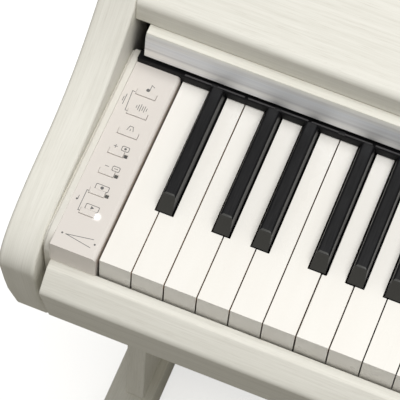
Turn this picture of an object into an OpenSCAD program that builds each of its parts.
// Console digital piano: an 88-key keyboard unit with a sliding key cover on a panel stand with three pedals.
// Millimetres. +X to the player's right, +Y away from the player, +Z up.
// Origin: on the floor, under the middle of the whole instrument.

/* [Overall] */
// Width over the two side boards
overall_w = 1357; // [1330:1:1640]
// Depth from the key slip's nose to the rear cover
overall_d = 422; // [400:1:520]
// Height of the white keys' tops above the floor
key_z = 735; // [700:1:900]
// Height of the top board above the white keys
top_rise = 64; // [58:1:80]

/* [Keyboard] */
// Distance from one white key to the next
key_pitch = 23.5; // [22.5:0.1:23.6]
// Gap between neighbouring white keys
key_gap = 0.9; // [0.6:0.1:1.4]
// Visible length of a white key
white_len = 148; // [140:1:155]
// Length of a white key's wide head
head_len = 49; // [46:1:52]
// Thickness of a key's bar
key_bar = 16; // [12:1:18]
// Drop of a white key's front lip below its top
lip_drop = 26; // [22:1:30]
// Width of the slot that a black key stands in
slot_w = 13.8; // [13:0.1:15]
// Width of a black key at its foot
black_w = 11.6; // [10:0.1:12]
// Width of a black key at its crown
black_top_w = 9.4; // [8.5:0.1:10]
// Height of a black key above the white keys
black_rise = 12; // [10:0.5:12.2]
// How far a white key goes down at its front edge
key_dip = 10; // [9:0.5:11]
// Distance from the white keys' front edge back to the pivot rod
pivot_back = 200; // [190:1:225]
// Depth of the pivot rod below the white keys' tops
pivot_down = 10; // [9:0.5:12]
// Radius of the key pivot rod and of the hammer rod
rod_r = 2; // [1.5:0.1:2.5]
// Sheet thickness of the key chassis
tray_t = 1.6; // [1.2:0.1:3]
// Radial running clearance on the rods
rod_clear = 0.06; // [0.03:0.01:0.1]

/* [Cabinet] */
// Thickness of a side board
side_t = 26.5; // [22:0.5:30]
// Thickness of the keybed
bed_t = 16; // [14:1:22]
// Depth of the keybed's top below the white keys' tops
bed_drop = 88; // [84:1:100]
// Thickness of the rear cover
rear_t = 14; // [10:1:18]
// Thickness of the top board
top_t = 18; // [14:1:19]
// Width of the guide rail between a side board and the end block
rail_w = 6.5; // [5:0.5:9]
// Height of the control panel above the white keys
panel_rise = 2.5; // [1:0.5:4]
// Wall of the control panel's plastic shell
panel_wall = 2.5; // [2:0.1:3]
// Clearance between the end block and the outermost key
end_clear = 1.5; // [1:0.1:3]
// Clearance of the key slip in front of the keys
slip_clear = 1.7; // [1.2:0.1:2.5]

/* [Key cover] */
// Thickness of the key cover board
cover_t = 12; // [10:0.5:14]
// Height of the cover's lower lip above the white keys
lip_z = 13.2; // [13:0.1:15]
// Height of the cover's top face above the white keys
cover_top = 40; // [38:0.5:43]
// Forward travel of the key cover
cover_travel = 165; // [120:1:165]
// Gap between an end of the cover and the side board
cover_gap = 11.2; // [10:0.1:14]

/* [Controls] */
// Distance from one panel button to the next
button_pitch = 16.6; // [14:0.1:18]
// Front edge of the first button, behind the white keys' front edge
button_front = 26.1; // [20:0.1:30]
// Distance of the buttons from the end block's outer edge
button_inset = 8.8; // [6:0.1:10]
// Depth of a button cap, front to back
button_d = 4.4; // [3.5:0.1:6]
// Length of a function button cap
button_long = 14.4; // [12:0.1:15]
// Length of a player button cap, beside its lamp
button_short = 10.9; // [9:0.1:11.2]
// Height of a button cap above the panel
button_rise = 0.9; // [0.4:0.1:1.4]
// Travel of a button
button_travel = 1; // [0.5:0.1:1.2]

/* [Music rest] */
// Width of the music rest
rest_w = 640; // [500:10:760]
// Height of the music rest panel
rest_h = 150; // [120:5:165]
// Thickness of the music rest panel
rest_t = 8; // [7:0.5:9]
// Height of the music rest's ledge above the panel
ledge_h = 6; // [4:0.5:14]

/* [Stand] */
// Thickness of a stand side panel
leg_t = 19; // [16:1:24]
// Front edge of the stand side panels, behind the white keys' front edge
leg_front = 171; // [150:1:190]
// Height of a foot
foot_h = 55; // [45:1:70]
// Width of a foot
foot_w = 43.5; // [35:0.5:50]
// Height of the stand's back panel
back_h = 230; // [180:5:280]
// Height of the pedal box
box_h = 88; // [80:1:110]
// Depth of the pedal box
box_d = 96; // [85:1:120]
// Width of a pedal
pedal_w = 24; // [20:0.5:28]
// Distance from one pedal to the next
pedal_pitch = 70; // [60:1:80]
// Length of a pedal in front of the pedal box
pedal_reach = 92; // [80:1:100]

/* [Hidden] */
$fn = 48;
eps = 0.5;                                  // how far a cutter passes through what it cuts
seat = 0.3;                                 // clearance between neighbouring pieces that do not touch
white_count = 52;
half_w = overall_w / 2;
inner_x = half_w - side_t;                  // inner face of a side board
keys_w = white_count * key_pitch;
key_x0 = -keys_w / 2;                       // left edge of the first white key
slip_nose = 23;                             // how far the key slip stands in front of the keys
y0 = slip_nose - overall_d / 2;             // the white keys' front edge
rear_y = overall_d / 2;                     // back face of the rear cover
top_z = key_z + top_rise;
bed_z = key_z - bed_drop;                   // top of the keybed
under_z = bed_z - bed_t;                    // underside of the keybed
side_low = key_z - 142;                     // underside of a side board
pivot_y = y0 + pivot_back;
tray_back = 26;                             // the chassis tray's reach behind the pivot
pivot_z = key_z - pivot_down;
rail_x = inner_x - rail_w;                  // inner face of a guide rail
block_x = keys_w / 2 + end_clear;           // keyboard side of an end block
panel_y0 = y0 - 2.5;                        // front of an end block
panel_y1 = y0 + 150;                        // back of an end block
panel_z = key_z + panel_rise;
front_y = y0 + 160;                         // front edge of the top board
strip_y0 = y0 + white_len + 0.5;            // front of the key stop rail
lip_y = y0 + 150;                           // front of the key cover's lip
cover_x = inner_x - cover_gap;              // end of the key cover
cover_z = key_z + cover_top - cover_t;      // underside of the key cover board
cover_back = front_y + cover_travel + 24;    // rear edge of the key cover
octave_w = 7 * key_pitch;
foot_x = inner_x - leg_t / 2 + 3.5;         // middle of a foot
leg_y = y0 + leg_front;
slip_foot = key_z - lip_drop - key_dip - 10; // slip's shelf, below the lips of pressed keys
pedal_z = 62;                               // height of the pedal pivots
box_y0 = 44;                                // front of the pedal box
box_z = 24;                                 // underside of the pedal box
pedal_y = box_y0 + 70;                      // pedal pivots
box_w = 2 * (inner_x - leg_t);
hammer_y = y0 + 110;                        // hammer rod
hammer_z = key_z - 56;
board_t = 1.6;                              // thickness of a circuit board
sock_r = 3.2;                               // radius of a headphone socket
jack_x = -inner_x + 62;                     // middle of the headphone jack box

wood = [0.92, 0.91, 0.87];
plastic = [0.89, 0.87, 0.84];
ivory = [0.97, 0.96, 0.93];
ebony = [0.13, 0.13, 0.13];
silver = [0.72, 0.73, 0.75];
dark = [0.15, 0.15, 0.16];
steel = [0.62, 0.63, 0.65];
brass = [0.78, 0.62, 0.30];
board_green = [0.12, 0.34, 0.20];

// --- helpers ---------------------------------------------------------------------------------

// Box from its low corner to its high corner.
module block(low, high) translate(low) cube(high - low);

// Profile given in [y, z], extruded along X from x to x + width.
module slab(x, width, outline)
    translate([x, 0, 0]) rotate([90, 0, 90]) linear_extrude(width) polygon(outline);

// Cylinder along X.
module bar_x(x, width, y, z, r) translate([x, y, z]) rotate([0, 90, 0]) cylinder(h = width, r = r);

// Point on a cubic curve through the control points p, at t from 0 to 1.
function curve(p, t) = pow(1 - t, 3) * p[0] + 3 * pow(1 - t, 2) * t * p[1]
    + 3 * (1 - t) * t * t * p[2] + pow(t, 3) * p[3];
function curve_points(p, steps) = [for (i = [0:steps]) curve(p, i / steps)];

// Arc about c from angle a to angle b, in the [y, z] plane.
function arc(c, r, a, b, steps) =
    [for (i = [0:steps]) c + r * [cos(a + (b - a) * i / steps), sin(a + (b - a) * i / steps)]];

// --- side boards -----------------------------------------------------------------------------

// The side board's outline: flat at the back, sweeping down to a low rounded nose at the front.
function side_outline() = let (
        waist = [y0 + 60, key_z + 11],
        sweep = curve_points([[y0 + 165.4, top_z], [y0 + 143.9, top_z - 20],
                              [y0 + 111.8, key_z + 17], waist], 14),
        nose = curve_points([waist, [y0 + 12.1, key_z + 5.5],
                             [y0 - 17, key_z - 7.7], [y0 - 17, key_z - 30]], 14))
    concat([[rear_y, side_low], [rear_y, top_z]], sweep,
           [for (i = [1:14]) nose[i]],
           [[y0 - 15, key_z - 40], [y0 - 11, key_z - 67], [y0 - 6.5, key_z - 92]],
           arc([y0 + 11, side_low + 6], 6, 200, 270, 4));

module side_board_left() color(wood) slab(-half_w, side_t, side_outline());
module side_board_right() color(wood) slab(half_w - side_t, side_t, side_outline());

// --- cabinet ---------------------------------------------------------------------------------

speaker_x = 330;
speaker_gap = 38;                           // from the key chassis back to a speaker's magnet
magnet_r = 24;
speaker_y = pivot_y + tray_back + speaker_gap + magnet_r;
speaker_r = 54;
module keybed() color(wood) difference() {
    block([-inner_x, y0 + 12, under_z], [inner_x, rear_y - rear_t, bed_z]);
    for (s = [-1, 1]) translate([s * speaker_x, speaker_y, under_z - eps])
        cylinder(h = bed_t + 2 * eps, r = speaker_r);
}

slip_drop = 22;                             // depth of the slip's rear edge below the white keys' tops
slip_r = 7;                                 // rounding of the slip's nose
// The key slip: a board with a flat top, a sloping face and a nose whose lower face runs back.
module key_slip() color(wood) slab(-rail_x, 2 * rail_x, concat(
    [[y0 - slip_clear, key_z - slip_drop], [y0 - 8.2, key_z - slip_drop - 0.8],
     [y0 - 9.6, key_z - slip_drop - 1.5]],
    arc([y0 - slip_nose + slip_r, key_z - slip_drop - 17], slip_r, 125, 180, 6),
    [[y0 - 8.6, under_z], [y0 + 12, under_z], [y0 + 12, slip_foot], [y0 - slip_clear, slip_foot]]));

top_r = 6;                                  // rounding of the top board's front edge
module top_board() color(wood) difference() {
    union() {
        slab(-inner_x, 2 * inner_x, concat([[rear_y - rear_t, top_z - top_t], [rear_y - rear_t, top_z]],
            arc([front_y + top_r, top_z - top_r], top_r, 90, 180, 8), [[front_y, top_z - top_t]]));
        block([-inner_x, front_y, key_z + cover_top + 0.6], [inner_x, front_y + 12, top_z - top_t]);
    }
    for (s = [-1, 1]) hinge_pocket(s * rest_w * 0.36);
}

module rear_cover() color(wood) difference() {
    block([-inner_x, rear_y - rear_t, under_z], [inner_x, rear_y, top_z]);
    block([sock_x - 46, rear_y - rear_t - eps, sock_z - 16], [sock_x + 46, rear_y + eps, sock_z + 16]);
    rear_screw_places() cylinder(h = screw_h + eps, r = screw_r + seat);
}

// --- guide rails of the key cover ------------------------------------------------------------

channel_y0 = front_y + 12;
channel_z = cover_z + cover_t / 2;
roller_r = 3;
// Outline of a rail: level beside the keys, rounding down over the slip at its front.
function rail_outline(inset) = concat(
    [[panel_y1 + 8, bed_z], [panel_y1 + 8, key_z + 5 - inset], [y0 + 20, key_z + 3 - inset]],
    arc([y0 + 12, key_z - 12], 15 - inset, 90, 180, 6),
    [[y0 - 1 + inset, slip_foot], [y0 + 8, under_z], [y0 + 12, under_z], [y0 + 12, bed_z]]);
module one_cover_rail() {
    slab(-inner_x, 2, rail_outline(3));
    slab(-inner_x + 2, rail_w - 2, rail_outline(0));
    difference() {
        block([-inner_x, channel_y0, cover_z - 4], [-rail_x, rear_y - rear_t, cover_z + cover_t]);
        block([-inner_x + 2, channel_y0 - eps, channel_z - roller_r - seat],
              [-rail_x + eps, rear_y - rear_t - 8, channel_z + roller_r + seat]);
    }
}
module cover_rails() color(plastic) { one_cover_rail(); mirror([1, 0, 0]) one_cover_rail(); }

// --- end blocks ------------------------------------------------------------------------------

// Section of an end block's shell in [x, z], with its keyboard-side top edge rounded.
module block_section(inset) {
    r = 3 - inset;
    polygon(concat([[-rail_x + inset, bed_z - (inset > 0 ? eps : 0)],
                    [-block_x - inset, bed_z - (inset > 0 ? eps : 0)]],
        arc([-block_x - 3, panel_z - 3], max(r, 0.5), 0, 90, 6),
        [[-rail_x + inset, panel_z - inset]]));
}
module end_block() difference() {
    translate([0, panel_y1, 0]) rotate([90, 0, 0]) linear_extrude(panel_y1 - panel_y0) block_section(0);
    translate([0, panel_y1 - panel_wall, 0]) rotate([90, 0, 0])
        linear_extrude(panel_y1 - panel_y0 - 2 * panel_wall) block_section(panel_wall);
    // room for the back of the key slip
    block([-rail_x - eps, panel_y0 - eps, bed_z - eps], [-block_x + eps, y0 + 12 + seat, slip_foot + seat]);
    block([-rail_x - eps, panel_y0 - eps, bed_z - eps],
          [-block_x + eps, y0 - slip_clear + seat, key_z - slip_drop + seat]);
}

button_x = -rail_x + button_inset;           // left edge of the button caps
function button_y(i) = y0 + button_front + i * button_pitch;
// Numbers the buttons from the front: play, record, minus, plus, metronome, voice, demo.
function button_len(i) = i > 3 ? button_long : button_short;
fit = 0.25;                                 // clearance of a cap in its opening
module button_opening(i) block([button_x - fit, button_y(i) - fit, panel_z - panel_wall - eps],
    [button_x + button_len(i) + fit, button_y(i) + button_d + fit, panel_z + eps]);

module control_panel() color(plastic) difference() {
    end_block();
    for (i = [0:6]) button_opening(i);
    // lamp windows beside the short buttons
    for (i = [0:3]) block([button_x + button_short + 0.6, button_y(i) + 0.4, panel_z - 0.6],
                          [button_x + button_short + 3.4, button_y(i) + 3.2, panel_z + eps]);
}

power_y = y0 + 118;
power_x = (rail_x + block_x) / 2;
power_r = 5.5;
slider_y0 = y0 + 40;
slider_len = 46;
slider_w = 3;
module end_block_right() color(plastic) difference() {
    mirror([1, 0, 0]) end_block();
    translate([power_x, power_y, panel_z - panel_wall - eps])
        cylinder(h = panel_wall + 2 * eps, r = power_r + fit);
    block([power_x - slider_w / 2 - fit, slider_y0 - 3 - fit, panel_z - panel_wall - eps],
          [power_x + slider_w / 2 + fit, slider_y0 + slider_len + 3 + fit, panel_z + eps]);
}

// --- buttons ---------------------------------------------------------------------------------

flange_t = 1.2;
module button_cap(i) {
    block([button_x, button_y(i), panel_z - panel_wall - 0.5],
          [button_x + button_len(i), button_y(i) + button_d, panel_z + button_rise]);
    block([button_x - 1.2, button_y(i) - 1.2, panel_z - panel_wall - 0.1 - flange_t],
          [button_x + button_len(i) + 1.2, button_y(i) + button_d + 1.2, panel_z - panel_wall - 0.1]);
}
module button_play() color(plastic) button_cap(0);
module button_record() color(plastic) button_cap(1);
module button_minus() color(plastic) button_cap(2);
module button_plus() color(plastic) button_cap(3);
module button_metronome() color(plastic) button_cap(4);
module button_voice() color(plastic) button_cap(5);
module button_demo() color(plastic) button_cap(6);

module power_button() color(plastic) translate([power_x, power_y, 0]) {
    translate([0, 0, panel_z - panel_wall - 0.5]) cylinder(h = panel_wall + 0.5 + 1.2, r = power_r);
    translate([0, 0, panel_z - panel_wall - 0.1 - flange_t]) cylinder(h = flange_t, r = power_r + 1.5);
}
module volume_slider() color(dark) {
    block([power_x - slider_w / 2, slider_y0 - 3, panel_z - panel_wall - 1],
          [power_x + slider_w / 2, slider_y0 + 3, panel_z + 0.4]);
    block([power_x - 5, slider_y0 - 3, panel_z + 0.4], [power_x + 5, slider_y0 + 3, panel_z + 4.5]);
}

// --- keyboard action -------------------------------------------------------------------------

// Letters run A B C D E F G. After which letters a black key stands, and how far its middle is
// from the joint of its two white keys.
black_shift = [3.36, undef, -2.35, 2.35, undef, -3.36, 0];
function has_black(i) = i >= 0 && i < white_count - 1 && black_shift[i % 7] != undef;
function black_mid(i) = key_x0 + (i + 1) * key_pitch + black_shift[i % 7] * key_pitch / 23.5;
function tail_left(i) = has_black(i - 1) ? black_mid(i - 1) + slot_w / 2
                                         : key_x0 + i * key_pitch + key_gap / 2;
function tail_right(i) = has_black(i) ? black_mid(i) - slot_w / 2
                                      : key_x0 + (i + 1) * key_pitch - key_gap / 2;

tail_in = 2.2;                              // how much the rear of a tail is set in on each side
tail_y = pivot_y - 24;                      // where the set-in part starts
tail_end = pivot_y + 16;
step_z = key_z - 3;                         // top of the tails behind the stop rail
// Rear part of every key: a narrow bar with the bore for the pivot rod.
module key_tail(x0, x1) difference() {
    block([x0, tail_y, key_z - key_bar], [x1, tail_end, step_z]);
    bar_x(x0 - eps, x1 - x0 + 2 * eps, pivot_y, pivot_z, rod_r + rod_clear);
}

module white_key(i) {
    left = key_x0 + i * key_pitch + key_gap / 2;
    right = left + key_pitch - key_gap;
    block([left, y0, key_z - key_bar], [right, y0 + head_len, key_z]);
    block([left, y0, key_z - lip_drop], [right, y0 + 2.6, key_z - key_bar]);
    block([tail_left(i), y0 + head_len, key_z - key_bar], [tail_right(i), y0 + white_len + 14, key_z]);
    block([tail_left(i), y0 + white_len + 14, key_z - key_bar], [tail_right(i), tail_y, step_z]);
    key_tail(tail_left(i) + tail_in, tail_right(i) - tail_in);
}

nose_run = 9;                               // length of a black key's sloping front
crown_r = 1.8;                              // rounding of a black key's long top edges
module black_key(i) {
    mid = black_mid(i);
    y1 = y0 + head_len + 0.5;
    y2 = y0 + white_len - 0.5;
    intersection() {
        translate([mid, y2, key_z]) rotate([90, 0, 0]) linear_extrude(y2 - y1) polygon(concat(
            [[-black_w / 2, 0], [black_w / 2, 0]],
            arc([black_top_w / 2 - crown_r, black_rise - crown_r], crown_r, 5, 90, 4),
            arc([-black_top_w / 2 + crown_r, black_rise - crown_r], crown_r, 90, 175, 4)));
        slab(mid - black_w, 2 * black_w, concat([[y2, key_z], [y2, key_z + black_rise]],
            arc([y1 + nose_run + 1, key_z + black_rise - 3], 3, 90, 140, 4), [[y1, key_z + 1], [y1, key_z]]));
    }
    block([mid - black_w / 2 + 0.4, y1, key_z - key_bar], [mid + black_w / 2 - 0.4, y2, key_z]);
    block([mid - black_top_w / 2, y2, key_z - key_bar], [mid + black_top_w / 2, tail_y, step_z]);
    key_tail(mid - black_top_w / 2, mid + black_top_w / 2);
}

module key_a0() color(ivory) white_key(0);
module key_as0() color(ebony) black_key(0);
module key_b0() color(ivory) white_key(1);
module key_c1() color(ivory) white_key(2);
module key_cs1() color(ebony) black_key(2);
module key_d1() color(ivory) white_key(3);
module key_ds1() color(ebony) black_key(3);
module key_e1() color(ivory) white_key(4);
module key_f1() color(ivory) white_key(5);
module key_fs1() color(ebony) black_key(5);
module key_g1() color(ivory) white_key(6);
module key_gs1() color(ebony) black_key(6);
module key_a1() color(ivory) white_key(7);
module key_as1() color(ebony) black_key(7);
module key_b1() color(ivory) white_key(8);
module white_keys_upper() color(ivory) for (i = [9:white_count - 1]) white_key(i);
module black_keys_upper() color(ebony) for (i = [9:white_count - 2]) if (has_black(i)) black_key(i);

// The black rail that the keys pass under, with a raised bar along its back.
module key_stop_rail() color(dark) {
    block([-block_x, strip_y0, key_z + 0.8], [block_x, strip_y0 + 9.5, key_z + 8]);
    block([-block_x, strip_y0 + 5, key_z + 8], [block_x, strip_y0 + 9.5, key_z + 12.2]);
    for (s = [-1, 1]) block([s * (block_x + rail_x) / 2 - (rail_x - block_x) / 2, panel_y1, bed_z],
                            [s * (block_x + rail_x) / 2 + (rail_x - block_x) / 2, strip_y0 + 9.5, key_z + 8]);
}

// The chassis: a folded steel tray with cheeks that hold the two rods.
lug_t = 3;
contact_z = key_z - 36;                     // top of the tray's front shelf
module chassis_lug(x) difference() {
    slab(x, lug_t, [[hammer_y - 12, bed_z + tray_t], [hammer_y - 12, hammer_z + 7],
        [hammer_y + 12, hammer_z + 7], [pivot_y - 11, key_z - key_bar - 6], [pivot_y - 11, key_z - 4],
        [pivot_y + 11, key_z - 4], [pivot_y + 24, bed_z + tray_t]]);
    bar_x(x - eps, lug_t + 2 * eps, pivot_y, pivot_z, rod_r);
    bar_x(x - eps, lug_t + 2 * eps, hammer_y, hammer_z, rod_r);
}
module key_chassis() color(steel) {
    block([key_x0, y0 + 13, bed_z], [-key_x0, pivot_y + tray_back, bed_z + tray_t]);
    block([key_x0, y0 + 13, bed_z + tray_t], [-key_x0, y0 + 13 + tray_t, contact_z]);
    block([key_x0, y0 + 13 + tray_t, contact_z - tray_t], [-key_x0, y0 + 40, contact_z]);
    chassis_lug(key_x0 - 0.8);
    chassis_lug(-key_x0 + 0.8 - lug_t);
    for (k = [0:6]) chassis_lug(key_x0 + 2 * key_pitch + k * octave_w - lug_t / 2);
}

module pivot_rods() color(steel) {
    rod_x = -key_x0 + 0.8;
    bar_x(-rod_x, 2 * rod_x, pivot_y, pivot_z, rod_r);
    bar_x(-rod_x, 2 * rod_x, hammer_y, hammer_z, rod_r);
}

hammer_w = 6;
// A hammer: a lever on the hammer rod with a heavy head at its rear.
module hammer(mid) difference() {
    slab(mid - hammer_w / 2, hammer_w, [[hammer_y - 48, hammer_z - 3], [hammer_y - 48, hammer_z + 3],
        [hammer_y, hammer_z + 5], [pivot_y - 34, hammer_z + 3], [pivot_y - 30, hammer_z + 8],
        [pivot_y - 14, hammer_z + 8], [pivot_y - 14, hammer_z - 12], [pivot_y - 30, hammer_z - 12],
        [pivot_y - 34, hammer_z - 3], [hammer_y, hammer_z - 5]]);
    bar_x(mid - hammer_w / 2 - eps, hammer_w + 2 * eps, hammer_y, hammer_z, rod_r + rod_clear);
}
module hammers() color(dark) {
    for (i = [0:white_count - 1]) hammer((tail_left(i) + tail_right(i)) / 2);
    for (i = [0:white_count - 2]) if (has_black(i)) hammer(black_mid(i));
}

// --- electronics -----------------------------------------------------------------------------

panel_board_z = panel_z - panel_wall - 0.1 - flange_t - button_travel - 0.3;
main_y0 = pivot_y + 40;
module circuit_boards() color(board_green) {
    // contact board on the tray's front shelf, with a rubber dome under each white key
    block([key_x0 + 4, y0 + 18, contact_z], [-key_x0 - 4, y0 + 42, contact_z + board_t]);
    for (i = [0:white_count - 1])
        block([(tail_left(i) + tail_right(i)) / 2 - 3, y0 + 24, contact_z + board_t],
              [(tail_left(i) + tail_right(i)) / 2 + 3, y0 + 36, contact_z + board_t + 3]);
    // panel board with a switch under each button
    block([-rail_x + panel_wall + 0.5, y0 + 18, panel_board_z - 4 - board_t],
          [-block_x - panel_wall - 0.5, y0 + 140, panel_board_z - 4]);
    for (i = [0:6]) block([button_x + 2, button_y(i) + 0.2, panel_board_z - 4],
                          [button_x + 8, button_y(i) + button_d - 0.2, panel_board_z]);
    for (y = [y0 + 22, y0 + 134]) block([-rail_x + panel_wall + 2, y, bed_z],
                                       [-rail_x + panel_wall + 8, y + 4, panel_board_z - 4 - board_t]);
    // main board and power board on stand-offs, behind the keys
    for (x = [-580, 60]) {
        block([x, main_y0, bed_z + 8], [x + 180, main_y0 + 90, bed_z + 8 + board_t]);
        for (dx = [6, 168], dy = [6, 78])
            block([x + dx, main_y0 + dy, bed_z], [x + dx + 6, main_y0 + dy + 6, bed_z + 8]);
        block([x + 20, main_y0 + 20, bed_z + 8 + board_t], [x + 60, main_y0 + 60, bed_z + 22]);
        block([x + 100, main_y0 + 30, bed_z + 8 + board_t], [x + 130, main_y0 + 60, bed_z + 14]);
    }
}

// Speakers hang in the keybed's openings and face down.
module speakers() color(dark) for (s = [-1, 1]) translate([s * speaker_x, speaker_y, 0]) {
    translate([0, 0, under_z + 3]) rotate_extrude() polygon([
        [speaker_r - 1, 0], [speaker_r - 1, 3], [speaker_r - 6, 3], [magnet_r, bed_t + 4],
        [magnet_r, bed_t + 16], [0, bed_t + 16], [0, 4], [10, 2], [speaker_r - 6, 0]]);
}
module speaker_grilles() color(dark) for (s = [-1, 1]) translate([s * speaker_x, speaker_y, under_z - 3])
    difference() {
        cylinder(h = 3, r = speaker_r + 8);
        translate([0, 0, 1.2]) cylinder(h = 3, r = speaker_r - 1);
        for (a = [0:5], k = [-5:5]) let (x = k * 8, y = (a - 2.5) * 16)
            if (x * x + y * y < 44 * 44) translate([x - 2, y - 6, -eps]) cube([4, 12, 3]);
    }

// Headphone jacks in a box under the keybed's front left.
jack_front = y0 + 26;
module headphone_jacks() color(dark) difference() {
    union() {
        block([jack_x - 34, jack_front, under_z - 26], [jack_x + 34, jack_front + 46, under_z]);
        for (s = [-1, 1]) translate([jack_x + s * 15, jack_front, under_z - 13]) rotate([90, 0, 0])
            cylinder(h = 2, r = 6);
    }
    for (s = [-1, 1]) translate([jack_x + s * 15, jack_front + 32, under_z - 13]) rotate([90, 0, 0])
        cylinder(h = 36, r = sock_r);
}

// Plate with the power inlet and the pedal and host sockets, in the rear cover's opening.
sock_x = 150;
sock_z = bed_z + 44;
inlet_r = 2.75;
module rear_sockets() color(dark) difference() {
    union() {
        block([sock_x - 50, rear_y - rear_t - 3, sock_z - 20], [sock_x + 50, rear_y - rear_t, sock_z + 20]);
        block([sock_x - 44, rear_y - rear_t - 18, sock_z - 10],
              [sock_x + 44, rear_y - rear_t - 3, sock_z + 10]);
    }
    translate([sock_x - 28, rear_y, sock_z]) rotate([90, 0, 0]) cylinder(h = rear_t + 14, r = inlet_r);
    block([sock_x - 8, rear_y - rear_t - 14, sock_z - 5.5], [sock_x + 4, rear_y, sock_z + 5.5]);
    block([sock_x + 20, rear_y - rear_t - 14, sock_z - 6], [sock_x + 34, rear_y, sock_z + 6]);
}

// Screw heads: under the keybed, and sunk into the rear cover.
screw_r = 4;
screw_h = 2.2;
module rear_screw_places() for (x = [-0.92, -0.46, 0, 0.46, 0.92], z = [under_z + 8, top_z - 9])
    translate([x * inner_x, rear_y - screw_h, z]) rotate([-90, 0, 0]) children();
module cabinet_screws() color(steel) {
    for (x = [-0.8, -0.4, 0, 0.4, 0.8], y = [y0 + 60, rear_y - 40])
        translate([x * inner_x, y, under_z - screw_h]) cylinder(h = screw_h, r = screw_r);
    rear_screw_places() cylinder(h = screw_h, r = screw_r);
}

// --- key cover -------------------------------------------------------------------------------

module key_cover() color(wood) {
    block([-cover_x, lip_y + 3, cover_z], [cover_x, cover_back, cover_z + cover_t]);
    for (s = [-1, 1]) bar_x(s > 0 ? cover_x : -cover_x - cover_gap + 3.2, cover_gap - 3.2,
                            cover_back - 8, channel_z, roller_r);
}
// Folded metal edge that covers the front of the key cover and hangs down as its lip.
module key_cover_edge() color(silver) slab(-cover_x, 2 * cover_x, [
    [lip_y, key_z + lip_z + 1], [lip_y + 1, key_z + lip_z], [lip_y + 3, key_z + lip_z],
    [lip_y + 3, cover_z + cover_t], [lip_y + 1, cover_z + cover_t - 3.5]]);

// --- music rest ------------------------------------------------------------------------------

// The rest lies folded back on the top board; its hinge runs along its front edge.
knuckle_r = 4;
rest_y = rear_y - rear_t - rest_h - 8;      // hinge line of the music rest
rest_z = top_z + knuckle_r + 1;             // height of the hinge line
hinge_x = rest_w * 0.36;
hinge_pin_r = 1.5;
rest_y0 = rest_y + knuckle_r + 1.5;         // front edge of the panel
module hinge_pocket(x) block([x - 22, rest_y - 8, top_z - 2], [x + 22, rest_y + 14, top_z + eps]);
module music_rest() color(wood) difference() {
    union() {
        block([-rest_w / 2, rest_y0, rest_z - 3], [rest_w / 2, rest_y + rest_h, rest_z - 3 + rest_t]);
        block([-rest_w / 2, rest_y0, rest_z - 3 + rest_t],
              [rest_w / 2, rest_y0 + 12, rest_z - 3 + rest_t + ledge_h]);
        for (s = [-1, 1]) {
            bar_x(s * hinge_x - 8, 16, rest_y, rest_z, knuckle_r);
            block([s * hinge_x - 8, rest_y, rest_z - 2], [s * hinge_x + 8, rest_y0, rest_z + 2]);
        }
    }
    for (s = [-1, 1]) bar_x(s * hinge_x - 9, 18, rest_y, rest_z, hinge_pin_r + rod_clear);
}
module music_rest_hinges() color(steel) for (s = [-1, 1]) {
    block([s * hinge_x - 20, rest_y - 6, top_z - 2], [s * hinge_x + 20, rest_y + 12, top_z]);
    for (e = [-1, 1]) {
        bar_x(s * hinge_x + e * 12 - 3, 6, rest_y, rest_z, knuckle_r);
        block([s * hinge_x + e * 12 - 3, rest_y - 2.5, top_z],
              [s * hinge_x + e * 12 + 3, rest_y + 2.5, rest_z]);
    }
    bar_x(s * hinge_x - 15, 30, rest_y, rest_z, hinge_pin_r);
}

// --- stand -----------------------------------------------------------------------------------

module stand_side(x) color(wood) block([x, leg_y, foot_h], [x + leg_t, rear_y - 8, under_z]);
module stand_side_left() stand_side(-inner_x);
module stand_side_right() stand_side(inner_x - leg_t);

// A foot: a long block with a rounded nose and small glides underneath.
function foot_outline() = concat(
    [[rear_y - 2, 3], [rear_y - 2, foot_h]],
    arc([-rear_y + 26, foot_h - 24], 24, 90, 180, 8),
    [[-rear_y + 2, 3]]);
module foot(x) color(wood) {
    slab(x - foot_w / 2, foot_w, foot_outline());
    for (y = [-rear_y + 24, rear_y - 24]) translate([x, y, 0]) cylinder(h = 3, r = 11);
}
module foot_left() foot(-foot_x);
module foot_right() foot(foot_x);

back_top = under_z - 60;
back_y = rear_y - 40;
module stand_back_panel() color(wood)
    block([-inner_x + leg_t, back_y, back_top - back_h], [inner_x - leg_t, back_y + 12, back_top]);

// --- pedals ----------------------------------------------------------------------------------

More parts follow.
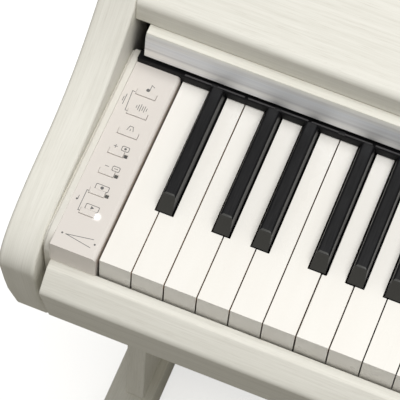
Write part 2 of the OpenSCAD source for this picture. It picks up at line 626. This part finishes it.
pedal_names = [-1, 0, 1];
box_wall = 12;
module pedal_slot(i) block([i * pedal_pitch - pedal_w / 2 - 2, box_y0 - eps, pedal_z - 20],
                           [i * pedal_pitch + pedal_w / 2 + 2, box_y0 + box_wall + eps, pedal_z + 9]);
module pedal_box() color(wood) {
    difference() {
        block([-box_w / 2, box_y0, box_z], [box_w / 2, box_y0 + box_d, box_z + box_h]);
        block([-box_w / 2 + box_wall, box_y0 + box_wall, box_z + box_wall],
              [box_w / 2 - box_wall, box_y0 + box_d - box_wall, box_z + box_h - box_wall]);
        for (i = pedal_names) pedal_slot(i);
        // the feet's inner sides run into the box's lower corners
        for (s = [-1, 1]) block([s * foot_x - foot_w / 2, box_y0 - eps, box_z - eps],
                                [s * foot_x + foot_w / 2, box_y0 + box_d + eps, foot_h]);
        translate([0, box_y0 + box_d / 2, box_z - eps]) cylinder(h = box_wall + 2 * eps, r = 5.1);
    }
    // cradle that carries the pedal axle
    for (x = [-1.5, -0.5, 0.5, 1.5]) block([x * pedal_pitch - 5, pedal_y - 8, box_z + box_wall],
                                           [x * pedal_pitch + 5, pedal_y + 8, pedal_z + 10]);
    bar_x(-1.5 * pedal_pitch, 3 * pedal_pitch, pedal_y, pedal_z, 4);
}

// A pedal: a flat blade that widens to a rounded toe, on a sleeve around the axle.
toe_r = pedal_w / 2 + 1;
module pedal(i) color(brass) translate([i * pedal_pitch, 0, 0]) difference() {
    union() {
        translate([0, 0, pedal_z - 6]) linear_extrude(7) union() {
            translate([0, box_y0 - pedal_reach + toe_r]) circle(toe_r);
            translate([-pedal_w * 0.36, box_y0 - pedal_reach + toe_r])
                square([pedal_w * 0.72, pedal_y - box_y0 + pedal_reach - toe_r]);
        }
        bar_x(-pedal_w / 2, pedal_w, pedal_y, pedal_z, 7);
    }
    bar_x(-pedal_w / 2 - eps, pedal_w + 2 * eps, pedal_y, pedal_z, 4 + rod_clear);
}
module pedal_left() pedal(-1);
module pedal_middle() pedal(0);
module pedal_right() pedal(1);

// Threaded foot under the pedal box that is screwed down to the floor.
module pedal_box_leveller() color(dark) translate([0, box_y0 + box_d / 2, 0]) {
    cylinder(h = 8, r = 17);
    cylinder(h = box_z + box_wall - 2, r = 5);
}

side_board_left();
side_board_right();
keybed();
key_slip();
top_board();
rear_cover();
cover_rails();
control_panel();
end_block_right();
key_stop_rail();
key_chassis();
pivot_rods();
hammers();
circuit_boards();
speakers();
speaker_grilles();
headphone_jacks();
rear_sockets();
cabinet_screws();
key_cover();
key_cover_edge();
music_rest();
music_rest_hinges();
button_demo();
button_voice();
button_metronome();
button_plus();
button_minus();
button_record();
button_play();
power_button();
volume_slider();
key_a0();
key_as0();
key_b0();
key_c1();
key_cs1();
key_d1();
key_ds1();
key_e1();
key_f1();
key_fs1();
key_g1();
key_gs1();
key_a1();
key_as1();
key_b1();
white_keys_upper();
black_keys_upper();
stand_side_left();
stand_side_right();
foot_left();
foot_right();
stand_back_panel();
pedal_box();
pedal_left();
pedal_middle();
pedal_right();
pedal_box_leveller();
